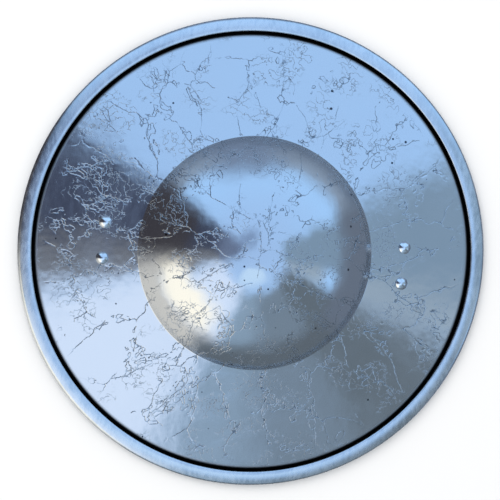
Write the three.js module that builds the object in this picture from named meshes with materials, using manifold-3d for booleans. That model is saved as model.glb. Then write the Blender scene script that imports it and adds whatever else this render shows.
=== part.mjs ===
// A round steel buckler, lying as it rests: boss up, on the flat underside of its rim.
// Millimetres. +Z points out of the shield's front, +X runs along the grip, and the origin is
// on the floor plane under the middle of the rim.
import * as THREE from "three";
import { mergeVertices } from "three/addons/utils/BufferGeometryUtils.js";
import Module from "manifold-3d";

const wasm = await Module();
wasm.setup();

const GAP = 0.3; // clearance between pieces that touch
const AROUND = 64; // facets around the turned pieces
const RIVET_AROUND = 12;

// The shield plate: flange, step, cone and boss, dished from one sheet.
const PLATE_THICKNESS = 1.6;
const PLATE_SLOPE = THREE.MathUtils.degToRad(17);
const FLANGE_EDGE_RADIUS = 147; // where the sheet ends inside the rim
const FLANGE_FRONT_HEIGHT = 3.2;
const STEP_FOOT_RADIUS = 140.6; // the step down from the cone to the flange
const STEP_TOP_RADIUS = 138.6;
const STEP_TOP_HEIGHT = 6.4;
const STEP_ROUNDING = 1.2;
const BOSS_BASE_RADIUS = 74.3;
const BOSS_SPHERE_RADIUS = 92;
const CREASE_ROUNDING = 3; // fillet between the boss and the cone
const BOSS_STEPS = 9;

// The rim: one strip folded round the edge of the plate.
const RIM_OUTER_RADIUS = 150;
const RIM_LIP_RADIUS = 141.2; // inner face of the strip's front edge
const RIM_BACK_RADIUS = 141.8; // inner edge of the fold behind
const RIM_STRIP = 1.3;
const RIM_CROWN_HEIGHT = 8;
const RIM_CROWN_RADIUS = 145.2;
const RIM_SHOULDER_HEIGHT = 7.1; // where the lip turns down to the flange
const RIM_SIDE_HEIGHT = 4.2;
const RIM_FOOT_ROUNDING = 2.6;

// The handle: a strap, flat at the riveted ends and cupped across its width at the grip.
const HANDLE_THICKNESS = 2.5;
const RIVET_REACH = 95.9; // along the grip, from the middle to each rivet pair
const RIVET_PITCH = 23; // across the grip, between the rivets of a pair
const PAD_LENGTH = 24;
const PAD_WIDTH = 38;
const PAD_CORNER = 8;
const NECK_WIDTH = 25;
const GRIP_WIDTH = 29;
const GRIP_CUP = 8; // how far the grip's edges rise above its middle
const GRIP_HEIGHT = 12; // middle of the strap's thickness above the floor
const NECK_START = 40; // the grip narrows to its neck from here
const FLAT_START = 46; // the cup starts to flatten here
const BEND_INNER = 57; // the strap leaves the grip's level here
const NECK_END = 63; // the neck widens to the riveted end from here
const BEND_OUTER = RIVET_REACH - PAD_LENGTH / 2; // and lies along the cone from here
const FLAT_END = BEND_OUTER - 6;
const STRAP_ACROSS = 6;

// The rivets: polished domes in front, hammered heads behind.
const RIVET_HEAD_RADIUS = 4;
const RIVET_HEAD_HEIGHT = 2.5;
const RIVET_HEAD_EDGE = 0.4;
const RIVET_SHANK_RADIUS = 2.1;
const RIVET_HOLE_RADIUS = 2.5;
const RIVET_TAIL_RADIUS = 3.6;
const RIVET_TAIL_HEIGHT = 1.5;

const steel = (colour, roughness) =>
  new THREE.MeshStandardMaterial({ color: colour, metalness: 1, roughness });

// Points on an arc about (r, z), with angles in degrees from the +r direction.
function arc(r, z, radius, fromDeg, toDeg, steps) {
  return Array.from({ length: steps + 1 }, (_, i) => {
    const a = THREE.MathUtils.degToRad(fromDeg + ((toDeg - fromDeg) * i) / steps);
    return new THREE.Vector2(r + radius * Math.cos(a), z + radius * Math.sin(a));
  });
}

// The corner of three points, rounded: an arc's ends and its middle.
function rounded(before, corner, after, radius) {
  const back = before.clone().sub(corner).normalize();
  const on = after.clone().sub(corner).normalize();
  const half = Math.acos(THREE.MathUtils.clamp(back.dot(on), -1, 1)) / 2;
  const reach = radius / Math.tan(half);
  const inward = back.clone().add(on).normalize();
  const middle = inward.multiplyScalar(radius / Math.sin(half) - radius);
  return [
    back.multiplyScalar(reach).add(corner),
    middle.add(corner),
    on.multiplyScalar(reach).add(corner),
  ];
}

// A line of points moved sideways by a distance, to the right of its direction.
function offset(points, distance) {
  const steps = points.slice(1).map((p, i) => p.clone().sub(points[i]).normalize());
  return points.map((p, i) => {
    const a = steps[Math.max(i - 1, 0)];
    const b = steps[Math.min(i, steps.length - 1)];
    const side = new THREE.Vector2(a.y + b.y, -a.x - b.x).normalize();
    const miter = side.dot(new THREE.Vector2(a.y, -a.x));
    return p.clone().addScaledVector(side, distance / miter);
  });
}

// A profile of (r, z) points turned about +Z into a solid.
function turned(profile, around) {
  return new THREE.LatheGeometry(profile, around).rotateX(Math.PI / 2);
}

// A geometry as a manifold-3d solid, without the empty triangles of a lathe's poles.
function solid(geometry) {
  const bare = geometry.clone().deleteAttribute("normal").deleteAttribute("uv");
  const merged = mergeVertices(bare, 1e-4);
  const faces = [];
  for (let i = 0; i < merged.index.count; i += 3) {
    const [a, b, c] = merged.index.array.subarray(i, i + 3);
    if (a !== b && b !== c && c !== a) faces.push(a, b, c);
  }
  return new wasm.Manifold(
    new wasm.Mesh({
      numProp: 3,
      vertProperties: merged.attributes.position.array,
      triVerts: new Uint32Array(faces),
    }),
  );
}

function geometryOf(made) {
  const mesh = made.getMesh();
  const geometry = new THREE.BufferGeometry();
  geometry.setAttribute("position", new THREE.BufferAttribute(mesh.vertProperties, 3));
  geometry.setIndex(new THREE.BufferAttribute(mesh.triVerts, 1));
  geometry.computeVertexNormals();
  return geometry;
}

const slopeDrop = Math.tan(PLATE_SLOPE);
const coneFront = (r) => STEP_TOP_HEIGHT + (STEP_TOP_RADIUS - r) * slopeDrop;

// Front of the plate from the top of the boss out to the sheet's edge.
function plateFront() {
  const edgeAngle = THREE.MathUtils.radToDeg(Math.asin(BOSS_BASE_RADIUS / BOSS_SPHERE_RADIUS));
  const bossBase = new THREE.Vector2(BOSS_BASE_RADIUS, coneFront(BOSS_BASE_RADIUS));
  const sphereHeight = bossBase.y - BOSS_SPHERE_RADIUS * Math.cos(edgeAngle * THREE.MathUtils.DEG2RAD);
  const boss = arc(0, sphereHeight, BOSS_SPHERE_RADIUS, 90, 90 - edgeAngle, BOSS_STEPS);
  boss[0].x = 0;
  const stepTop = new THREE.Vector2(STEP_TOP_RADIUS, STEP_TOP_HEIGHT);
  const stepFoot = new THREE.Vector2(STEP_FOOT_RADIUS, FLANGE_FRONT_HEIGHT);
  const edge = new THREE.Vector2(FLANGE_EDGE_RADIUS, FLANGE_FRONT_HEIGHT);
  return [
    ...boss.slice(0, -1),
    ...rounded(boss.at(-2), bossBase, stepTop, CREASE_ROUNDING),
    ...rounded(bossBase, stepTop, stepFoot, STEP_ROUNDING),
    stepFoot,
    edge,
  ];
}

function shieldPlate(holes) {
  const front = plateFront();
  const back = offset(front, PLATE_THICKNESS);
  back[0].x = 0;
  const whole = solid(turned([...back, ...front.reverse()], AROUND));
  return geometryOf(holes.reduce((plate, hole) => plate.subtract(hole), whole));
}

// The strip's outer face from the front edge over the crown and under to the fold behind.
function rimRing() {
  const crownLeft = RIM_CROWN_RADIUS - RIM_LIP_RADIUS;
  const foot = RIM_FOOT_ROUNDING;
  const outer = [
    new THREE.Vector2(RIM_LIP_RADIUS, FLANGE_FRONT_HEIGHT + GAP),
    new THREE.Vector2(RIM_LIP_RADIUS, RIM_SHOULDER_HEIGHT - RIM_STRIP / 2),
    new THREE.Vector2(RIM_LIP_RADIUS + crownLeft / 4, RIM_SHOULDER_HEIGHT),
    new THREE.Vector2(RIM_CROWN_RADIUS, RIM_CROWN_HEIGHT),
    new THREE.Vector2(RIM_OUTER_RADIUS - foot / 2, RIM_SHOULDER_HEIGHT - RIM_STRIP / 4),
    new THREE.Vector2(RIM_OUTER_RADIUS, RIM_SIDE_HEIGHT),
    ...arc(RIM_OUTER_RADIUS - foot, foot, foot, -25, -90, 2),
    new THREE.Vector2(RIM_BACK_RADIUS, 0),
  ];
  const inner = offset(outer, RIM_STRIP);
  return turned([...outer.reverse(), ...inner, outer[0]], AROUND);
}

const smooth = (x, from, to) => THREE.MathUtils.smoothstep(x, from, to);

// Where the strap's mid-thickness line lies, by distance x from the middle of the grip.
function strapHeight(x) {
  const below = (PLATE_THICKNESS + GAP + HANDLE_THICKNESS / 2) / Math.cos(PLATE_SLOPE);
  const alongCone = coneFront(x) - below;
  return THREE.MathUtils.lerp(GRIP_HEIGHT, alongCone, smooth(x, BEND_INNER, BEND_OUTER));
}

function strapWidth(x) {
  const flare = smooth(x, NECK_END, BEND_OUTER);
  const body = THREE.MathUtils.lerp(GRIP_WIDTH, NECK_WIDTH, smooth(x, NECK_START, NECK_END));
  const intoCorner = Math.max(x - (RIVET_REACH + PAD_LENGTH / 2 - PAD_CORNER), 0);
  const inset = PAD_CORNER - Math.sqrt(Math.max(PAD_CORNER ** 2 - intoCorner ** 2, 0));
  return THREE.MathUtils.lerp(body, PAD_WIDTH, flare) - 2 * inset;
}

// Places along half the strap: even on the grip, closer in the bend, closest at the round corners.
function strapStations() {
  const end = RIVET_REACH + PAD_LENGTH / 2;
  const spread = (from, to, count) =>
    Array.from({ length: count }, (_, i) => from + ((to - from) * i) / count);
  const half = [
    ...spread(0, NECK_START, 3),
    ...spread(NECK_START, BEND_OUTER, 11),
    ...spread(BEND_OUTER, end - PAD_CORNER, 2),
    ...arc(end - PAD_CORNER, 0, PAD_CORNER, 90, 0, 4).map((p) => p.x),
  ];
  return [...half.slice(1).reverse().map((x) => -x), ...half];
}

// A flat bar bent into the strap: each station is cupped across, then set on the bent line.
function strapHandle(holes) {
  const stations = strapStations();
  const steps = stations.length - 1;
  const bar = new THREE.BoxGeometry(steps, 1, 1, steps, STRAP_ACROSS, 1);
  const place = bar.attributes.position;
  for (let i = 0; i < place.count; i++) {
    const x = stations[Math.round(place.getX(i) + steps / 2)];
    const reach = Math.abs(x);
    const width = strapWidth(reach);
    const cup = GRIP_CUP * (1 - smooth(reach, FLAT_START, FLAT_END));
    const halfTurn = 2 * Math.atan((2 * cup) / width);
    const turn = 2 * halfTurn * place.getY(i);
    const depth = place.getZ(i) * HANDLE_THICKNESS;
    const bow = width / (2 * Math.sin(halfTurn));
    const across = cup ? (bow - depth) * Math.sin(turn) : width * place.getY(i);
    const rise = cup ? bow - (bow - depth) * Math.cos(turn) : depth;
    const onPad = smooth(reach, BEND_INNER, BEND_OUTER);
    const roundCone = onPad * slopeDrop * (Math.hypot(reach, across) - reach);
    const lean = Math.atan2(strapHeight(reach + GAP) - strapHeight(reach - GAP), 2 * GAP);
    place.setXYZ(
      i,
      x - Math.sign(x) * Math.sin(lean) * rise,
      across,
      strapHeight(reach) - roundCone + Math.cos(lean) * rise,
    );
  }
  return geometryOf(holes.reduce((strap, hole) => strap.subtract(hole), solid(bar)));
}

function rivetGeometry() {
  const under = -(PLATE_THICKNESS + GAP + HANDLE_THICKNESS + GAP);
  const cap = RIVET_HEAD_HEIGHT - RIVET_HEAD_EDGE;
  const capRadius = (RIVET_HEAD_RADIUS ** 2 + cap ** 2) / (2 * cap);
  const capAngle = THREE.MathUtils.radToDeg(Math.asin(RIVET_HEAD_RADIUS / capRadius));
  const head = arc(0, GAP + RIVET_HEAD_HEIGHT - capRadius, capRadius, 90 - capAngle, 90, 4);
  head.at(-1).x = 0;
  return turned(
    [
      new THREE.Vector2(0, under - RIVET_TAIL_HEIGHT),
      new THREE.Vector2(RIVET_TAIL_RADIUS * 0.7, under - RIVET_TAIL_HEIGHT * 0.75),
      new THREE.Vector2(RIVET_TAIL_RADIUS, under),
      new THREE.Vector2(RIVET_SHANK_RADIUS, under),
      new THREE.Vector2(RIVET_SHANK_RADIUS, GAP),
      new THREE.Vector2(RIVET_HEAD_RADIUS, GAP),
      ...head,
    ],
    RIVET_AROUND,
  );
}

// Stands something on the cone's front face, square to it.
function setOnCone(object, x, y) {
  object.position.set(x, y, coneFront(Math.hypot(x, y)));
  object.rotation.set(0, PLATE_SLOPE, Math.atan2(y, x), "ZYX");
  object.updateMatrix();
  return object;
}

const rivets = [];
for (const [side, sign] of [["left", -1], ["right", 1]]) {
  for (const [level, up] of [["upper", 1], ["lower", -1]]) {
    const rivet = new THREE.Mesh(rivetGeometry(), steel(0xc9ced2, 0.12));
    rivet.name = `rivet_${side}_${level}`;
    rivets.push(setOnCone(rivet, sign * RIVET_REACH, (up * RIVET_PITCH) / 2));
  }
}

const drill = new THREE.CylinderGeometry(RIVET_HOLE_RADIUS, RIVET_HOLE_RADIUS, 24, RIVET_AROUND);
drill.rotateX(Math.PI / 2);
const holes = rivets.map((rivet) => solid(drill.clone().applyMatrix4(rivet.matrix)));

const plate = new THREE.Mesh(shieldPlate(holes), steel(0xa9b4c0, 0.2));
plate.name = "shield_plate";
const rim = new THREE.Mesh(rimRing(), steel(0x9fabb8, 0.35));
rim.name = "rim_ring";
const handle = new THREE.Mesh(strapHandle(holes), steel(0x8f979e, 0.4));
handle.name = "handle";

const buckler = new THREE.Group();
buckler.add(plate, rim, handle, ...rivets);

export default buckler;
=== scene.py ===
import bisect
import math

import bmesh
import bpy
from mathutils import Matrix, Vector, noise


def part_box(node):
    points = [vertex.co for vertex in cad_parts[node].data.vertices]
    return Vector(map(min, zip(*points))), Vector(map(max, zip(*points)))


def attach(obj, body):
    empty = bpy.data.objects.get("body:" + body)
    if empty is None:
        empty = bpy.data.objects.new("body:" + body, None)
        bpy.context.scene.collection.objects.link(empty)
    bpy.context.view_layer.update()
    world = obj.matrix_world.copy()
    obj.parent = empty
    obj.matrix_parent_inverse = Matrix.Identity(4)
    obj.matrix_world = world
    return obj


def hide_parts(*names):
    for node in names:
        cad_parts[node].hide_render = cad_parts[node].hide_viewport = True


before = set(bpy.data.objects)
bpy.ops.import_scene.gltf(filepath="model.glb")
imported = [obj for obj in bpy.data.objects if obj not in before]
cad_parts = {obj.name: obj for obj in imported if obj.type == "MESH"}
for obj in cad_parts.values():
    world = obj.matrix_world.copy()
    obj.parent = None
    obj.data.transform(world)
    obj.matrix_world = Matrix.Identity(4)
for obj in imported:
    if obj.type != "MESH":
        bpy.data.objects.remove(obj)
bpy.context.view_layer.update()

scene = bpy.context.scene
scene.view_settings.view_transform = "Standard"

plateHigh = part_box("shield_plate")[1]
mm = 0.001

# The dished sheet, in mm: shared by the plate, the handle and the rivets.
sheet = {
    "thickness": 1.6,
    "slope": math.radians(17),
    "edgeRadius": plateHigh.x / mm,
    "flangeHeight": 3.2,
    "footRadius": 140.6,
    "stepRadius": 138.6,
    "stepHeight": 6.4,
    "stepRounding": 1.2,
    "footRounding": 0.5,
    "bossRadius": 74.3,
    "bossSphere": 92.0,
    "creaseRounding": 1.2,
}


def smooth(x, low, high):
    t = min(max((x - low) / (high - low), 0.0), 1.0)
    return t * t * (3 - 2 * t)


def coneFront(r):
    return sheet["stepHeight"] + (sheet["stepRadius"] - r) * math.tan(sheet["slope"])


# An sRGB hex colour as linear values.
def linear(code):
    parts = [int(code[i : i + 2], 16) / 255 for i in (0, 2, 4)]
    parts = [c / 12.92 if c <= 0.04045 else ((c + 0.055) / 1.055) ** 2.4 for c in parts]
    return (*parts, 1.0)


# Adds a node. Inputs go by socket name or number, and take a value or another node's output.
def addNode(tree, kind, inputs=None, **settings):
    node = tree.nodes.new(kind)
    for name, value in settings.items():
        setattr(node, name, value)
    for socket, value in (inputs or {}).items():
        if isinstance(value, bpy.types.NodeSocket):
            tree.links.new(value, node.inputs[socket])
        else:
            node.inputs[socket].default_value = value
    return node


def newMetal(name, colour, roughness):
    metal = bpy.data.materials.new(name)
    metal.use_nodes = True
    tree = metal.node_tree
    tree.nodes.clear()
    shader = addNode(tree, "ShaderNodeBsdfPrincipled", {"Metallic": 1.0})
    shader.inputs["Base Color"].default_value = linear(colour)
    shader.inputs["Roughness"].default_value = roughness
    addNode(tree, "ShaderNodeOutputMaterial", {"Surface": shader.outputs[0]})
    return metal, tree, shader


# Closes a bmesh into a finished piece that stands for its CAD nodes.
def finishPiece(bm, name, nodes, materials, sharpAngle=30):
    mesh = bpy.data.meshes.new(name)
    bm.to_mesh(mesh)
    bm.free()
    mesh.polygons.foreach_set("use_smooth", [True] * len(mesh.polygons))
    mesh.set_sharp_from_angle(angle=math.radians(sharpAngle))
    for material in materials:
        mesh.materials.append(material)
    piece = bpy.data.objects.new(name, mesh)
    scene.collection.objects.link(piece)
    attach(piece, "root")
    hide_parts(*nodes)
    triangles = sum(len(p.vertices) - 2 for p in mesh.polygons)
    print(f"{name}: {triangles} triangles")
    return piece


# Turns a line of (radius, height) points in mm about Z. Spin leaves its corners in another order
# each run, so they are set down in a fixed one, each exactly on its ring.
def turn(bm, points, around, closed=False):
    lathe = bmesh.new()
    verts = [lathe.verts.new((r * mm, 0, z * mm)) for r, z in points]
    pairs = list(zip(verts, verts[1:])) + ([(verts[-1], verts[0])] if closed else [])
    edges = [lathe.edges.new(pair) for pair in pairs]
    bmesh.ops.spin(
        lathe, geom=verts + edges, cent=(0, 0, 0), axis=(0, 0, 1),
        angle=math.tau, steps=around, use_merge=True,
    )
    bmesh.ops.remove_doubles(lathe, verts=lathe.verts[:], dist=0.002 * mm)
    step = math.tau / around

    def spot(v):
        r, z = math.hypot(v.co.x, v.co.y) / mm, v.co.z / mm
        row = min(range(len(points)), key=lambda i: math.dist(points[i], (r, z)))
        return row, round(math.atan2(v.co.y, v.co.x) / step) % around if r > 0.001 else 0

    spots = {v: spot(v) for v in lathe.verts}
    corners = {}
    for row, place in sorted(set(spots.values())):
        r, z = points[row]
        x, y = r * math.cos(place * step), r * math.sin(place * step)
        corners[row, place] = bm.verts.new(Vector((x, y, z)) * mm)
    outlines = []
    for face in lathe.faces:
        outline = [spots[v] for v in face.verts]
        first = outline.index(min(outline))
        outlines.append(outline[first:] + outline[:first])
    lathe.free()
    for outline in sorted(outlines):
        bm.faces.new([corners[at] for at in outline])


# Points of a corner rounded to a radius, from its first tangent to its second.
def roundedCorner(before, corner, after, radius, steps):
    before, corner, after = Vector(before), Vector(corner), Vector(after)
    back, on = (before - corner).normalized(), (after - corner).normalized()
    half = back.angle(on) / 2
    start, end = corner + back * radius / math.tan(half), corner + on * radius / math.tan(half)
    middle = corner + (back + on).normalized() * radius / math.sin(half)
    swing = (start - middle).angle_signed(end - middle)
    turnBy = [Matrix.Rotation(-swing * i / steps, 2) for i in range(steps + 1)]
    return [tuple(middle + turned @ (start - middle)) for turned in turnBy]


# A line of points moved sideways, to the right of its direction.
def offsetLine(points, distance):
    points = [Vector(p) for p in points]
    steps = [(b - a).normalized() for a, b in zip(points, points[1:])]
    moved = []
    for i, p in enumerate(points):
        a, b = steps[max(i - 1, 0)], steps[min(i, len(steps) - 1)]
        side = Vector((a.y + b.y, -a.x - b.x)).normalized()
        moved.append(p + side * distance / side.dot(Vector((a.y, -a.x))))
    return [tuple(p) for p in moved]


# The camera, in metres, looks down on the shield lying face up.
shot = {
    "turn": math.radians(5.1),  # the grip lies this far round from the picture's width
    "tilt": math.radians(5.6),
    "lean": (-0.90, 0.43),  # the way the camera leans, along the picture's right and up
    "distance": 2.0,
    "halfWidth": 0.1601,  # half the width seen at the rim
    "aim": (-0.0014, 0.0012),  # off the rim's middle, right and up
    "planeHeight": 0.006,
}


def placeCamera():
    right = Vector((math.cos(shot["turn"]), math.sin(shot["turn"]), 0))
    up = Vector((-right.y, right.x, 0))
    middle = Vector((0, 0, shot["planeHeight"]))
    lean = (right * shot["lean"][0] + up * shot["lean"][1]).normalized()
    away = Vector((0, 0, 1)) * math.cos(shot["tilt"]) + lean * math.sin(shot["tilt"])
    place = middle + away * shot["distance"]
    target = middle + right * shot["aim"][0] + up * shot["aim"][1]
    forward = (target - place).normalized()
    side = forward.cross(up).normalized()
    camera = bpy.data.objects.new("camera", bpy.data.cameras.new("camera"))
    camera.matrix_world = Matrix((side, side.cross(forward), -forward)).transposed().to_4x4()
    camera.location = place
    camera.data.sensor_width = 36
    camera.data.lens = 18 * shot["distance"] / shot["halfWidth"]
    camera.data.clip_start = 0.01
    scene.collection.objects.link(camera)
    scene.camera = camera


# What the polished steel mirrors: an open sky overhead and soft panels round it. Azimuth runs
# counterclockwise from the picture's right, zenith down from overhead, all in degrees.
surroundings = {
    "backdrop": "f4f5f6",
    "skyTop": "9cbce4",
    "skyLow": "a0caf6",
    "skyFrom": (10.0, 75.0),
    "waver": 16.0,  # how far the panels' edges wander, in degrees
    "waverScale": 3.2,
    "strength": 1.57,  # undoes what the steel takes away, so that panel colours show as given
}
# Each panel spans its azimuth plus and minus its reach, and its zenith range. Edge and fade are
# how softly it ends sideways and up and down. Later panels cover earlier ones.
panels = [
    # the far ground, and a rise in it straight ahead
    {"colour": "8394a8", "azimuth": 70, "reach": 110, "edge": 8, "zenith": (80, 200), "fade": 9},
    {"colour": "6f819b", "azimuth": 92, "reach": 20, "edge": 12, "zenith": (68, 200), "fade": 10},
    {"colour": "56657a", "azimuth": 80, "reach": 110, "edge": 8, "zenith": (98, 200), "fade": 12},
    # a dark wall on the left, light on its lower edge
    {"colour": "384054", "azimuth": 164, "reach": 22, "edge": 6, "zenith": (24, 200), "fade": 4},
    {"colour": "39383e", "azimuth": 165, "reach": 24, "edge": 8, "zenith": (52, 200), "fade": 9},
    {"colour": "66696f", "azimuth": 188, "reach": 8, "edge": 5, "zenith": (24, 200), "fade": 5},
    # a bright bank of cloud with warm light under it
    {"colour": "d0e0f6", "azimuth": 226, "reach": 27, "edge": 9, "zenith": (27, 200), "fade": 5},
    {"colour": "fffaea", "azimuth": 214, "reach": 27, "edge": 9, "zenith": (56, 82), "fade": 8},
    {"colour": "c5c4bf", "azimuth": 216, "reach": 29, "edge": 9, "zenith": (82, 200), "fade": 8},
    # walls below and to the right
    {"colour": "8299ae", "azimuth": 266, "reach": 14, "edge": 6, "zenith": (31, 200), "fade": 5},
    {"colour": "6f8090", "azimuth": 296, "reach": 21, "edge": 9, "zenith": (33, 200), "fade": 5},
    {"colour": "5e6a74", "azimuth": 320, "reach": 13, "edge": 5, "zenith": (28, 200), "fade": 5},
    {"colour": "59636c", "azimuth": 290, "reach": 50, "edge": 8, "zenith": (84, 200), "fade": 10},
    {"colour": "94a6b6", "azimuth": 342, "reach": 9, "edge": 5, "zenith": (28, 60), "fade": 6},
    {"colour": "7890a6", "azimuth": 2, "reach": 17, "edge": 6, "zenith": (24, 200), "fade": 5},
    {"colour": "626d7d", "azimuth": 350, "reach": 32, "edge": 6, "zenith": (80, 200), "fade": 12},
    # thin grey haze near overhead
    {"colour": "7890b2", "azimuth": 125, "reach": 48, "edge": 14, "zenith": (6, 17), "fade": 5},
    {"colour": "5f6d88", "azimuth": 172, "reach": 28, "edge": 10, "zenith": (10, 28), "fade": 4},
    # an open bright gap low overhead, mirrored by the rim
    {"colour": "bcd8f2", "azimuth": 270, "reach": 28, "edge": 12, "zenith": (13, 26), "fade": 4},
]


# One inside a band of the value, soft at its ends. A band past straight down has no lower end.
def between(tree, value, low, high, fade):
    rise = addNode(tree, "ShaderNodeMapRange", {0: value, 1: low - fade, 2: low + fade},
                   interpolation_type="SMOOTHSTEP")
    if high > 180:
        return rise.outputs[0]
    fall = addNode(tree, "ShaderNodeMapRange", {0: value, 1: high + fade, 2: high - fade},
                   interpolation_type="SMOOTHSTEP")
    both = addNode(tree, "ShaderNodeMath", {0: rise.outputs[0], 1: fall.outputs[0]},
                   operation="MULTIPLY")
    return both.outputs[0]


def hangPanels():
    world = bpy.data.worlds.new("studio")
    scene.world = world
    world.use_nodes = True
    tree = world.node_tree
    tree.nodes.clear()
    toward = addNode(tree, "ShaderNodeTexCoord").outputs["Generated"]
    turned = addNode(tree, "ShaderNodeVectorRotate", {"Vector": toward, "Angle": -shot["turn"]},
                     rotation_type="Z_AXIS").outputs[0]
    wave = addNode(tree, "ShaderNodeTexNoise", {"Vector": turned, "Detail": 3.0,
                                                "Scale": surroundings["waverScale"]})
    waver = addNode(tree, "ShaderNodeMath", {0: wave.outputs[0], 1: 0.5}, operation="SUBTRACT")
    waver = addNode(tree, "ShaderNodeMath", {0: waver.outputs[0], 1: surroundings["waver"]},
                    operation="MULTIPLY").outputs[0]
    parts = addNode(tree, "ShaderNodeSeparateXYZ", {0: turned}).outputs
    azimuth = addNode(tree, "ShaderNodeMath", {0: parts[1], 1: parts[0]}, operation="ARCTAN2")
    azimuth = addNode(tree, "ShaderNodeMath", {0: azimuth.outputs[0]}, operation="DEGREES")
    azimuth = addNode(tree, "ShaderNodeMath", {0: azimuth.outputs[0], 1: waver}, operation="ADD")
    zenith = addNode(tree, "ShaderNodeMath", {0: parts[2]}, operation="ARCCOSINE")
    zenith = addNode(tree, "ShaderNodeMath", {0: zenith.outputs[0]}, operation="DEGREES")
    zenith = addNode(tree, "ShaderNodeMath", {0: zenith.outputs[0], 1: waver}, operation="ADD")
    azimuth, zenith = azimuth.outputs[0], zenith.outputs[0]

    high, low = surroundings["skyFrom"]
    lower = addNode(tree, "ShaderNodeMapRange", {0: zenith, 1: high, 2: low}).outputs[0]
    colour = addNode(
        tree, "ShaderNodeMix",
        {0: lower, 6: linear(surroundings["skyTop"]), 7: linear(surroundings["skyLow"])},
        data_type="RGBA",
    ).outputs[2]
    for panel in panels:
        off = addNode(tree, "ShaderNodeMath", {0: azimuth, 1: float(panel["azimuth"])},
                      operation="SUBTRACT").outputs[0]
        off = addNode(tree, "ShaderNodeMath", {0: off, 1: 180.0, 2: -180.0},
                      operation="WRAP").outputs[0]
        off = addNode(tree, "ShaderNodeMath", {0: off}, operation="ABSOLUTE").outputs[0]
        across = addNode(
            tree, "ShaderNodeMapRange",
            {0: off, 1: panel["reach"] + panel["edge"], 2: panel["reach"] - panel["edge"]},
            interpolation_type="SMOOTHSTEP",
        ).outputs[0]
        down = between(tree, zenith, *panel["zenith"], panel["fade"])
        inside = addNode(tree, "ShaderNodeMath", {0: across, 1: down},
                         operation="MULTIPLY").outputs[0]
        colour = addNode(tree, "ShaderNodeMix", {0: inside, 6: colour, 7: linear(panel["colour"])},
                         data_type="RGBA").outputs[2]
    mirrored = addNode(tree, "ShaderNodeBackground",
                       {"Color": colour, "Strength": surroundings["strength"]})
    plain = addNode(tree, "ShaderNodeBackground", {"Color": linear(surroundings["backdrop"])})
    ray = addNode(tree, "ShaderNodeLightPath").outputs["Is Glossy Ray"]
    mixed = addNode(tree, "ShaderNodeMixShader", {0: ray, 1: plain.outputs[0],
                                                  2: mirrored.outputs[0]})
    addNode(tree, "ShaderNodeOutputWorld", {"Surface": mixed.outputs[0]})


floorCard = {"halfSize": 3, "colour": "f2f2f2", "roughness": 0.9}


def layFloor():
    bm = bmesh.new()
    bmesh.ops.create_grid(bm, x_segments=1, y_segments=1, size=floorCard["halfSize"])
    mesh = bpy.data.meshes.new("floor")
    bm.to_mesh(mesh)
    bm.free()
    floor = bpy.data.objects.new("floor", mesh)
    scene.collection.objects.link(floor)
    paper = bpy.data.materials.new("paleCardFloor")
    paper.use_nodes = True
    shader = paper.node_tree.nodes["Principled BSDF"]
    shader.inputs["Base Color"].default_value = linear(floorCard["colour"])
    shader.inputs["Roughness"].default_value = floorCard["roughness"]
    mesh.materials.append(paper)
    floor.visible_glossy = False  # the steel mirrors the panels alone


softKey = {"place": (-0.7, 0.9, 1.6), "size": 1.4, "power": 14}


def hangLamp():
    lamp = bpy.data.objects.new("softKey", bpy.data.lights.new("softKey", "AREA"))
    lamp.data.size = softKey["size"]
    lamp.data.energy = softKey["power"]
    lamp.location = softKey["place"]
    lamp.rotation_euler = (Vector(softKey["place"]) * -1).to_track_quat("-Z", "Y").to_euler()
    lamp.visible_glossy = False
    lamp.visible_camera = False
    scene.collection.objects.link(lamp)


placeCamera()
hangPanels()
layFloor()
hangLamp()
print("camera, surroundings and floor ready")


# Sheet steel, spun, polished and then etched through a crackled resist: a clear cool mirror with
# a slight haze, and dull dark lines where the acid bit. Painted near-black shade, standing for the
# shadow and dark reflection of the rim's lip, sits in the step with some grime.
etchedSheet = {
    "colour": "cfd1d4",
    "lineColour": "7b838d",
    "pitColour": "4a4f57",
    # the near-black of the painted shade in the step, with some grime
    "shadeAndGrimeColour": "08090b",
    "roughness": (0.10, 0.20),
    "lineRoughness": 0.42,
    "shadeAndGrimeRoughness": 0.7,
    "smudgeScale": 26.0,
    "smudgeLevels": (0.35, 0.75),
    "threadScale": 210.0,  # threads wander over about 5 mm
    "threadLevels": (0.011, 0.003),
    "threadShow": 0.55,
    "threadBump": (0.6, 0.0002),  # strength, and depth in metres
    "patchScale": 42.0,
    "patchLevels": (0.50, 0.60),
    "pitScale": 120.0,  # one pit at most in each 8 mm
    "pitChance": (0.62, 0.95),
    "pitReach": 0.11,
    "scratchScale": 900.0,  # polishing marks 0.3 mm apart, drawn at 1 mm to show
    "scratchTurn": (0, 0, 0.6),
    "scratchStretch": (1.0, 0.06, 1.0),
    "scratchBump": (0.10, 0.00008),
    "swellScale": 38.0,  # hammering left slow waves, about 26 mm across
    "swellBump": (0.5, 0.0009),
    # where the painted shade and grime begin and reach full strength, in metres from the middle
    "shadeAndGrimeRing": (0.1362, 0.1394),
    "shadeAndGrimePower": 1.6,
}


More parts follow.
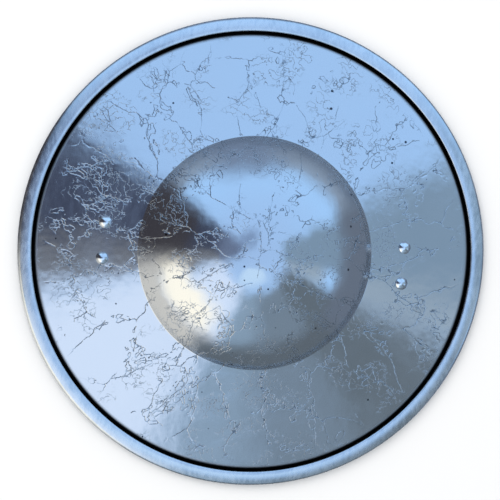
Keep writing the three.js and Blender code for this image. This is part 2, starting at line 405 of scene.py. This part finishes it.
def etchedSteel():
    look = etchedSheet
    metal, tree, shader = newMetal("polishedEtchedSheetSteel", look["colour"], 0.12)
    place = addNode(tree, "ShaderNodeTexCoord").outputs["Object"]
    etch = addNode(tree, "ShaderNodeAttribute", attribute_name="etch").outputs["Fac"]
    smudge = addNode(tree, "ShaderNodeTexNoise",
                     {"Vector": place, "Scale": look["smudgeScale"], "Detail": 5.0})
    low, high = look["smudgeLevels"]
    least, most = look["roughness"]
    hazy = addNode(tree, "ShaderNodeMapRange",
                   {0: smudge.outputs[0], 1: low, 2: high, 3: least, 4: most})

    # the finest etched threads, too thin to cut, follow the level lines of a noise in patches
    wander = addNode(tree, "ShaderNodeTexNoise",
                     {"Vector": place, "Scale": look["threadScale"], "Detail": 4.0})
    level = addNode(tree, "ShaderNodeMath", {0: wander.outputs[0], 1: 0.5}, operation="SUBTRACT")
    level = addNode(tree, "ShaderNodeMath", {0: level.outputs[0]}, operation="ABSOLUTE")
    low, high = look["threadLevels"]
    thread = addNode(tree, "ShaderNodeMapRange", {0: level.outputs[0], 1: low, 2: high})
    patch = addNode(tree, "ShaderNodeTexNoise",
                    {"Vector": place, "Scale": look["patchScale"], "Detail": 2.0})
    low, high = look["patchLevels"]
    patch = addNode(tree, "ShaderNodeMapRange", {0: patch.outputs[0], 1: low, 2: high})
    thread = addNode(tree, "ShaderNodeMath", {0: thread.outputs[0], 1: patch.outputs[0]},
                     operation="MULTIPLY").outputs[0]
    faint = addNode(tree, "ShaderNodeMath", {0: thread, 1: look["threadShow"]},
                    operation="MULTIPLY").outputs[0]
    etch = addNode(tree, "ShaderNodeMath", {0: etch, 1: faint}, operation="MAXIMUM").outputs[0]
    rough = addNode(tree, "ShaderNodeMix", {0: etch, 2: hazy.outputs[0], 3: look["lineRoughness"]})
    colour = addNode(tree, "ShaderNodeMix", {0: etch, 6: linear(look["colour"]),
                                             7: linear(look["lineColour"])}, data_type="RGBA")

    # a few of the cells hold a small rust pit
    pits = addNode(tree, "ShaderNodeTexVoronoi", {"Vector": place, "Scale": look["pitScale"]})
    chance = addNode(tree, "ShaderNodeSeparateColor", {0: pits.outputs["Color"]}).outputs[0]
    low, high = look["pitChance"]
    chance = addNode(tree, "ShaderNodeMapRange",
                     {0: chance, 1: low, 2: high, 3: 0, 4: look["pitReach"]})
    pit = addNode(tree, "ShaderNodeMath", {0: pits.outputs["Distance"], 1: chance.outputs[0]},
                  operation="LESS_THAN")
    colour = addNode(tree, "ShaderNodeMix", {0: pit.outputs[0], 6: colour.outputs[2],
                                             7: linear(look["pitColour"])}, data_type="RGBA")

    # polishing scratches, slow waves and the threads' depth
    slim = addNode(tree, "ShaderNodeMapping", {0: place, "Rotation": look["scratchTurn"],
                                               "Scale": look["scratchStretch"]})
    scratch = addNode(tree, "ShaderNodeTexNoise",
                      {"Vector": slim.outputs[0], "Scale": look["scratchScale"], "Detail": 3.0})
    swell = addNode(tree, "ShaderNodeTexNoise",
                    {"Vector": place, "Scale": look["swellScale"], "Detail": 3.0})
    strength, depth = look["scratchBump"]
    marks = addNode(tree, "ShaderNodeBump",
                    {"Height": scratch.outputs[0], "Strength": strength, "Distance": depth})
    strength, depth = look["swellBump"]
    waves = addNode(tree, "ShaderNodeBump", {"Height": swell.outputs[0], "Strength": strength,
                                             "Distance": depth, "Normal": marks.outputs[0]})
    strength, depth = look["threadBump"]
    bitten = addNode(tree, "ShaderNodeBump", {"Height": thread, "Strength": strength,
                                              "Distance": depth, "Normal": waves.outputs[0]},
                     invert=True)
    tree.links.new(bitten.outputs[0], shader.inputs["Normal"])

    # painted shade darkens the step beside the rim: the lip's shadow and dark reflection, with some
    # grime, painted in near-black
    flat = addNode(tree, "ShaderNodeVectorMath", {0: place, 1: (1, 1, 0)}, operation="MULTIPLY")
    radius = addNode(tree, "ShaderNodeVectorMath", {0: flat.outputs[0]}, operation="LENGTH")
    low, high = look["shadeAndGrimeRing"]
    shadeAndGrime = addNode(tree, "ShaderNodeMapRange", {0: radius.outputs["Value"], 1: low, 2: high},
                   interpolation_type="SMOOTHSTEP")
    shadeAndGrime = addNode(tree, "ShaderNodeMath", {0: shadeAndGrime.outputs[0], 1: look["shadeAndGrimePower"]},
                   operation="POWER")
    shadedAndGrimy = addNode(tree, "ShaderNodeMix", {0: shadeAndGrime.outputs[0], 6: colour.outputs[2],
                                            7: linear(look["shadeAndGrimeColour"])}, data_type="RGBA")
    tree.links.new(shadedAndGrimy.outputs[2], shader.inputs["Base Color"])
    roughShadeAndGrime = addNode(tree, "ShaderNodeMix",
                        {0: shadeAndGrime.outputs[0], 2: rough.outputs[0], 3: look["shadeAndGrimeRoughness"]})
    tree.links.new(roughShadeAndGrime.outputs[0], shader.inputs["Roughness"])
    return metal


# Grinding or brushing lines along one way, seen in gloss, colour and a shallow relief.
brushing = {
    "stainScale": 45.0,
    "glossLevels": (0.75, 1.25),
    "toneLevels": (0.8, 1.2),
    "strength": 0.35,
}


def brushedMetal(finish):
    metal, tree, shader = newMetal(finish["name"], finish["colour"], finish["roughness"])
    place = addNode(tree, "ShaderNodeTexCoord").outputs["Object"]
    drawn = addNode(tree, "ShaderNodeMapping", {0: place, "Scale": finish["stretch"]})
    lines = addNode(tree, "ShaderNodeTexNoise",
                    {"Vector": drawn.outputs[0], "Scale": finish["scale"], "Detail": 5.0}).outputs[0]
    stain = addNode(tree, "ShaderNodeTexNoise",
                    {"Vector": place, "Scale": brushing["stainScale"], "Detail": 5.0}).outputs[0]
    both = addNode(tree, "ShaderNodeMath", {0: lines, 1: stain}, operation="ADD").outputs[0]
    low, high = brushing["glossLevels"]
    least, most = finish["gloss"]
    rough = addNode(tree, "ShaderNodeMapRange", {0: both, 1: low, 2: high, 3: least, 4: most})
    tree.links.new(rough.outputs[0], shader.inputs["Roughness"])
    low, high = brushing["toneLevels"]
    tone = addNode(tree, "ShaderNodeMapRange", {0: both, 1: low, 2: high})
    darker, lighter = finish["tones"]
    tint = addNode(tree, "ShaderNodeMix", {0: tone.outputs[0], 6: linear(darker),
                                           7: linear(lighter)}, data_type="RGBA")
    tree.links.new(tint.outputs[2], shader.inputs["Base Color"])
    relief = addNode(tree, "ShaderNodeBump", {"Height": lines, "Strength": brushing["strength"],
                                              "Distance": finish["depth"]})
    tree.links.new(relief.outputs[0], shader.inputs["Normal"])
    return metal


# The back of the sheet, ground flat and left dull: long soft marks and grey stains.
backFinish = {
    "name": "groundSheetSteelBack",
    "colour": "9aa0a6",
    "tones": ("858b91", "a6abb0"),
    "roughness": 0.34,
    "gloss": (0.26, 0.46),
    "scale": 420.0,  # grinding lines 0.3 mm apart, drawn at 2.4 mm to show
    "stretch": (1.0, 0.12, 1.0),
    "depth": 0.0001,
}
# Mild steel strip, folded and rubbed down: a satin light blue-grey band with fine cross marks.
stripFinish = {
    "name": "satinFoldedStripSteel",
    "colour": "d2d6da",
    "tones": ("c6cbd0", "dcdfe2"),
    "roughness": 0.26,
    "gloss": (0.18, 0.32),
    "scale": 520.0,  # rubbing marks 0.2 mm apart, drawn at 1.9 mm to show
    "stretch": (1.0, 0.35, 1.0),
    "depth": 0.00006,
}
# Strap steel brushed along its length: grey lines along the grip.
strapFinish = {
    "name": "brushedStrapSteel",
    "colour": "a3a8ad",
    "tones": ("8e9398", "b0b4b8"),
    "roughness": 0.38,
    "gloss": (0.30, 0.48),
    "scale": 700.0,  # brush lines 0.3 mm apart, drawn at 1.4 mm to show
    "stretch": (0.05, 1.0, 1.0),
    "depth": 0.0001,
}
# Rivet heads hammered and polished: small bright facets of light with fine dents.
rivetFinish = {
    "name": "polishedRivetSteel",
    "colour": "e6e8ea",
    "tones": ("d4d7da", "eef0f2"),
    "roughness": 0.10,
    "gloss": (0.06, 0.18),
    "scale": 480.0,  # dents about 2 mm across
    "stretch": (1.0, 1.0, 1.0),
    "depth": 0.00025,
}


# The plate, in mm.
plateShape = {
    "around": 168,
    "row": 3.1,
    "backRow": 9.0,
    "refine": 3,
    "nearEdge": 1.75,  # longest edge beside a line
    "nearBorder": 0.6,
    "nearCrumb": -0.35,
    "cornerShare": 0.2,  # a corner this near a line, as a share of its edge, moves onto it
    "lineHalfWidth": 0.38,
    "lineDepth": 0.13,
    "depthMean": 0.7,
    "depthVary": 0.9,
    "depthSize": 5,
    "depthMost": 1.3,
    "dentDepth": 0.05,
    "dentSize": 34,
    "sharpAngle": 9,
    "fade": (128.0, 137.5),
}
# The etched pattern, in mm: bare islands with broken lines between them, and crumbs beside those.
crackle = {
    "cell": 24.0,
    "longer": (8, 100, -0.3),  # islands grow longer towards the rim
    "wander": [(17, 5.0, (3, 8, 1)), (5.2, 2.2, (9, 2, 4)), (2.1, 0.9, (5, 5, 7))],
    "breaks": (12, 1.6, 0.3),  # size, gain and bias of where lines show
    "spread": (15, -0.12, 9, 1.8),  # size, least, gain and bias of how far crumbs reach
    "crumbs": (2.7, 1.4),
    "crumbBias": 0.14,
    "crumbEnd": (1.4, 1.2),
}


# The front's outline from the middle to the edge, in steps of about one row.
def platePoints(row):
    edgeAngle = math.asin(sheet["bossRadius"] / sheet["bossSphere"])
    bossBase = (sheet["bossRadius"], coneFront(sheet["bossRadius"]))
    centre = bossBase[1] - sheet["bossSphere"] * math.cos(edgeAngle)
    bossSteps = max(round(sheet["bossSphere"] * edgeAngle / row), 4)
    angles = [edgeAngle * i / bossSteps for i in range(bossSteps)]
    boss = [(sheet["bossSphere"] * math.sin(a), centre + sheet["bossSphere"] * math.cos(a))
            for a in angles]
    stepTop = (sheet["stepRadius"], sheet["stepHeight"])
    foot = (sheet["footRadius"], sheet["flangeHeight"])
    edge = (sheet["edgeRadius"], sheet["flangeHeight"])
    # the fillet at the boss's base starts from the sphere's own slope there
    slope = (bossBase[0] - math.cos(edgeAngle), bossBase[1] + math.sin(edgeAngle))
    crease = roundedCorner(slope, bossBase, stepTop, sheet["creaseRounding"], 5)
    boss = [p for p in boss if p[0] < crease[0][0] - 0.4 * row]
    step = roundedCorner(bossBase, stepTop, foot, sheet["stepRounding"], 5)
    coneSteps = max(round((step[0][0] - crease[-1][0]) / row), 2)
    cone = [tuple(Vector(crease[-1]).lerp(Vector(step[0]), i / coneSteps))
            for i in range(1, coneSteps)]
    corner = roundedCorner(stepTop, foot, edge, sheet["footRounding"], 3)
    return [*boss, *crease, *cone, *step, *corner, edge]


# The height of an outline at a radius.
def heightOn(points, r):
    i = min(max(bisect.bisect([p[0] for p in points], r), 1), len(points) - 1)
    (r0, z0), (r1, z1) = points[i - 1], points[i]
    return z0 + (z1 - z0) * (r - r0) / (r1 - r0)


# At a place in mm: how far the nearest border between islands is, which island this is, whether
# a line shows there (above zero), and the crumbs' field, whose zero lines are drawn.
def crackAt(x, y):
    nearest, unit, power = crackle["longer"]
    p = Vector((x, y, 0)) * (max(math.hypot(x, y), nearest) / unit) ** power
    for size, push, seed in crackle["wander"]:
        p += noise.noise_vector(p / size + Vector(seed)) * push
    cell = crackle["cell"]
    (near, far, _, _), (first, second, _, _) = noise.voronoi(Vector((p.x, p.y, 9)) / cell)
    apart = max((second - first).length, 0.05)
    border = (far * far - near * near) / (2 * apart) * cell
    size, gain, bias = crackle["breaks"]
    present = noise.noise(p / size + Vector((1, 6, 2))) * gain + bias
    size, least, gain, bias = crackle["spread"]
    spread = max(noise.noise(p / size + Vector((7, 1, 5))), least) * gain + bias
    coarse, fine = crackle["crumbs"]
    drop, soft = crackle["crumbEnd"]
    crumbs = noise.noise(p / coarse + Vector((2, 9, 8))) + 0.5 * noise.noise(p / fine)
    crumbs = crumbs - crackle["crumbBias"] - drop * smooth(border, spread - soft, spread + soft)
    return border, (round(first.x, 3), round(first.y, 3), round(first.z, 3)), present, crumbs


def triangulateAll(bm):
    big = [f for f in bm.faces if len(f.verts) > 3]
    bmesh.ops.triangulate(bm, faces=big)


# Splits the edges that a line crosses, and marks the corners on it. A corner close to the line
# is taken instead of a new one.
def scoreLine(bm, crosses, crossingAt):
    etch = bm.verts.layers.float["etch"]
    close = plateShape["cornerShare"]
    cuts, near = {}, []
    for edge in bm.edges:
        a, b = edge.verts
        if not crosses(a, b):
            continue
        at = crossingAt(a, b)
        if at < close:
            near.append(a)
        elif at > 1 - close:
            near.append(b)
        else:
            cuts[edge] = at
    for v in near:
        v[etch] = 1
    made = bmesh.ops.subdivide_edges(bm, edges=list(cuts), cuts=1, edge_percents=cuts)
    for v in made["geom_inner"]:
        if isinstance(v, bmesh.types.BMVert):
            v[etch] = 1
    triangulateAll(bm)


def onLine(v, etch):
    return v[etch] > 0.999


def etchedFront(bm, points):
    turn(bm, points, plateShape["around"])
    triangulateAll(bm)
    ring, etch = bm.verts.layers.float["ring"], bm.verts.layers.float["etch"]
    for v in bm.verts:
        v[ring] = math.hypot(v.co.x, v.co.y) / mm
    limit = plateShape["fade"][1]

    def readField():
        bm.verts.index_update()
        return [crackAt(v.co.x / mm, v.co.y / mm) for v in bm.verts]

    for _ in range(plateShape["refine"]):
        field = readField()
        long = []
        for edge in bm.edges:
            a, b = edge.verts
            if edge.calc_length() / mm < plateShape["nearEdge"] or min(a[ring], b[ring]) > limit:
                continue
            fa, fb = field[a.index], field[b.index]
            drawn = max(fa[2], fb[2]) > 0
            atBorder = fa[1] != fb[1] or min(fa[0], fb[0]) < plateShape["nearBorder"]
            if drawn and atBorder or max(fa[3], fb[3]) > plateShape["nearCrumb"]:
                long.append(edge)
        bmesh.ops.subdivide_edges(bm, edges=long, cuts=1)
        triangulateAll(bm)
    print(f"  refined beside the lines: {len(bm.faces)} triangles")

    field = readField()

    def borderCrosses(a, b):
        fa, fb = field[a.index], field[b.index]
        return fa[1] != fb[1] and min(fa[2], fb[2]) > 0 and max(a[ring], b[ring]) < limit

    def borderAt(a, b):
        near, far = field[a.index][0], field[b.index][0]
        return near / max(near + far, 1e-6)

    scoreLine(bm, borderCrosses, borderAt)
    field = readField()

    def crumbCrosses(a, b):
        if onLine(a, etch) or onLine(b, etch) or max(a[ring], b[ring]) > limit:
            return False
        return field[a.index][3] * field[b.index][3] < 0

    def crumbAt(a, b):
        fa, fb = field[a.index][3], field[b.index][3]
        return fa / (fa - fb)

    scoreLine(bm, crumbCrosses, crumbAt)
    print(f"  lines scored: {len(bm.faces)} triangles")

    # a second cut on both sides of each line gives it narrow walls
    half = plateShape["lineHalfWidth"] * mm
    cuts = {}
    for edge in bm.edges:
        a, b = edge.verts
        if onLine(a, etch) != onLine(b, etch) and edge.calc_length() > half * 1.5:
            share = half / edge.calc_length()
            cuts[edge] = share if onLine(a, etch) else 1 - share
    bmesh.ops.subdivide_edges(bm, edges=list(cuts), cuts=1, edge_percents=cuts)
    triangulateAll(bm)
    print(f"  with walls: {len(bm.faces)} triangles")


def makePlate():
    bm = bmesh.new()
    bm.verts.layers.float.new("ring")
    bm.verts.layers.float.new("etch")
    ring, etch = bm.verts.layers.float["ring"], bm.verts.layers.float["etch"]
    front = platePoints(plateShape["row"])
    etchedFront(bm, front)
    low, high = plateShape["fade"]
    for v in bm.verts:
        turned = math.atan2(v.co.y, v.co.x)
        place = Vector((v.co.x, v.co.y, 0)) / mm
        dent = noise.noise(place / plateShape["dentSize"] + Vector((4, 4, 4)))
        dip = plateShape["dentDepth"] * dent
        deep = 0.0
        if onLine(v, etch):
            vary = plateShape["depthVary"] * noise.noise(place / plateShape["depthSize"])
            deep = (plateShape["depthMean"] + vary) * (1 - smooth(v[ring], low, high))
            deep = min(max(deep, 0.0), plateShape["depthMost"])
        v[etch] = min(deep, 1.0)
        dip = (dip - plateShape["lineDepth"] * deep) * (1 - smooth(v[ring], low, high))
        z = heightOn(front, v[ring]) + dip
        v.co = (v[ring] * math.cos(turned) * mm, v[ring] * math.sin(turned) * mm, z * mm)
    frontFaces = len(bm.faces)
    coarse = platePoints(plateShape["backRow"])
    back = offsetLine(coarse, sheet["thickness"])
    back[0] = (0, coarse[0][1] - sheet["thickness"])
    back[-1] = (sheet["edgeRadius"], sheet["flangeHeight"] - sheet["thickness"])
    turn(bm, [*back, coarse[-1]], plateShape["around"])
    bm.faces.ensure_lookup_table()
    for face in bm.faces[frontFaces:]:
        face.material_index = 1
    bmesh.ops.recalc_face_normals(bm, faces=bm.faces[:])
    materials = [etchedSteel(), brushedMetal(backFinish)]
    return finishPiece(bm, "etchedPlate", ["shield_plate"], materials,
                       plateShape["sharpAngle"])


# The rim is one strip folded round the sheet's edge. Its outline is in mm, radius then height.
rimShape = {
    "around": 256,
    "strip": 1.3,
    "roundings": 2,
    "sharpAngle": 40,
    "outline": [
        (141.2, 3.5), (141.2, 7.0), (141.25, 7.6), (141.8, 7.95), (143.4, 8.0), (145.8, 7.6),
        (148.3, 6.9), (149.6, 5.9), (150.0, 4.7), (150.0, 3.0), (149.2, 0.6), (147.0, 0.0),
        (141.8, 0.0),
    ],
}


# Cuts the corners off a line, keeping its ends: twice over gives it soft bends.
def eased(points, rounds):
    for _ in range(rounds):
        pairs = list(zip(points, points[1:]))
        cut = [tuple(Vector(a).lerp(Vector(b), t)) for a, b in pairs for t in (0.25, 0.75)]
        points = [points[0], *cut[1:-1], points[-1]]
    return points


def makeRim():
    bm = bmesh.new()
    outer = rimShape["outline"]
    inner = offsetLine(outer, rimShape["strip"])
    outer = eased(outer, rimShape["roundings"])
    inner = eased(inner, rimShape["roundings"])
    turn(bm, [*outer, *reversed(inner)], rimShape["around"], closed=True)
    bmesh.ops.recalc_face_normals(bm, faces=bm.faces[:])
    return finishPiece(bm, "foldedRim", ["rim_ring"], [brushedMetal(stripFinish)],
                       rimShape["sharpAngle"])


# The handle is a strap, in mm, cupped at the grip and riveted flat along the cone.
strap = {
    "thickness": 2.5,
    "rivetReach": 95.9,
    "rivetPitch": 23.0,
    "padLength": 24.0,
    "padWidth": 38.0,
    "padCorner": 8.0,
    "neckWidth": 25.0,
    "gripWidth": 29.0,
    "gripCup": 8.0,
    "gripHeight": 12.0,
    "neck": (40.0, 63.0),
    "flatten": (46.0, 77.9),
    "bend": (57.0, 83.9),
    "gap": 0.3,
    "stations": 150,
    "across": 16,
    "ease": 1.35,  # stations stand closer together at the ends
    "edgeRounding": 0.6,
    "sharpAngle": 40,
}


def strapHeight(x):
    cosine = math.cos(sheet["slope"])
    below = (sheet["thickness"] + strap["gap"] + strap["thickness"] / 2) / cosine
    bent = smooth(x, *strap["bend"])
    return strap["gripHeight"] * (1 - bent) + (coneFront(x) - below) * bent


def strapWidth(x):
    narrow = smooth(x, *strap["neck"])
    body = strap["gripWidth"] * (1 - narrow) + strap["neckWidth"] * narrow
    flare = smooth(x, strap["neck"][1], strap["bend"][1])
    corner = strap["padCorner"]
    past = max(x - (strap["rivetReach"] + strap["padLength"] / 2 - corner), 0)
    inset = corner - math.sqrt(max(corner**2 - past**2, 0))
    return body * (1 - flare) + strap["padWidth"] * flare - 2 * inset


# Where a point of the flat strap goes: cupped across, then set on the bent line.
def bendStrap(u, v, depth):
    end = strap["rivetReach"] + strap["padLength"] / 2
    x = math.copysign(end * (1 - (1 - abs(u)) ** strap["ease"]), u)
    reach = abs(x)
    width = strapWidth(reach)
    cup = strap["gripCup"] * (1 - smooth(reach, *strap["flatten"]))
    across, rise = width * v / 2, depth
    if cup > 1e-4:
        halfTurn = 2 * math.atan(2 * cup / width)
        bow = width / (2 * math.sin(halfTurn))
        across = (bow - depth) * math.sin(halfTurn * v)
        rise = bow - (bow - depth) * math.cos(halfTurn * v)
    onPad = smooth(reach, *strap["bend"])
    roundCone = onPad * math.tan(sheet["slope"]) * (math.hypot(reach, across) - reach)
    lean = math.atan2(strapHeight(reach + 0.3) - strapHeight(reach - 0.3), 0.6)
    x -= math.copysign(math.sin(lean) * rise, x)
    return x, across, strapHeight(reach) - roundCone + math.cos(lean) * rise


def makeHandle():
    bm = bmesh.new()
    bmesh.ops.create_grid(bm, x_segments=strap["stations"], y_segments=strap["across"], size=1)
    half = strap["thickness"] / 2
    for v in bm.verts:
        v.co = Vector(bendStrap(v.co.x, v.co.y, -half)) * mm
    bmesh.ops.recalc_face_normals(bm, faces=bm.faces[:])
    if sum(f.normal.z for f in bm.faces) < 0:
        bmesh.ops.reverse_faces(bm, faces=bm.faces[:])
    bmesh.ops.solidify(bm, geom=bm.faces[:], thickness=-strap["thickness"] * mm)
    bmesh.ops.recalc_face_normals(bm, faces=bm.faces[:])
    corners = [e for e in bm.edges if e.calc_face_angle(0) > 1.0]
    bmesh.ops.bevel(bm, geom=corners, offset=strap["edgeRounding"] * mm, segments=3,
                    profile=0.5, affect="EDGES", material=-1)
    return finishPiece(bm, "strapHandle", ["handle"], [brushedMetal(strapFinish)],
                       strap["sharpAngle"])


# Four rivets, in mm, hold plate and handle together.
rivetShape = {
    "around": 32,
    "headRadius": 4.0,
    "headHeight": 2.5,
    "headEdge": 0.4,
    "shankRadius": 2.1,
    "tailRadius": 3.6,
    "tailHeight": 1.5,
    "gap": 0.3,
    "sharpAngle": 35,
}


def rivetOutline():
    r, gap = rivetShape["headRadius"], rivetShape["gap"]
    cap = rivetShape["headHeight"] - rivetShape["headEdge"]
    capRadius = (r * r + cap * cap) / (2 * cap)
    top = gap + rivetShape["headHeight"]
    widest = math.asin(r / capRadius)
    dome = [(capRadius * math.sin(widest * i / 9), top - capRadius * (1 - math.cos(widest * i / 9)))
            for i in range(10)]
    under = -(sheet["thickness"] + strap["gap"] + strap["thickness"] + gap)
    tail, low = rivetShape["tailRadius"], under - rivetShape["tailHeight"]
    lower = [(tail, under), (tail * 0.98, under - 0.4), (tail * 0.86, low + 0.45),
             (tail * 0.62, low + 0.12), (tail * 0.3, low), (0, low)]
    shank = rivetShape["shankRadius"]
    return [*dome, (r * 0.99, gap), (shank, gap), (shank, under), *lower]


def makeRivets():
    polished = brushedMetal(rivetFinish)
    for side, sign in (("left", -1), ("right", 1)):
        for level, up in (("upper", 1), ("lower", -1)):
            x, y = sign * strap["rivetReach"], up * strap["rivetPitch"] / 2
            bm = bmesh.new()
            turn(bm, rivetOutline(), rivetShape["around"])
            bmesh.ops.recalc_face_normals(bm, faces=bm.faces[:])
            lean = Matrix.Rotation(math.atan2(y, x), 4, "Z")
            lean = lean @ Matrix.Rotation(sheet["slope"], 4, "Y")
            place = Matrix.Translation(Vector((x, y, coneFront(math.hypot(x, y)))) * mm)
            bmesh.ops.transform(bm, matrix=place @ lean, verts=bm.verts[:])
            finishPiece(bm, f"rivet{side.title()}{level.title()}",
                        [f"rivet_{side}_{level}"], [polished], rivetShape["sharpAngle"])


makePlate()
print("plate etched")
makeRim()
makeHandle()
makeRivets()
print("rim, handle and rivets ready")
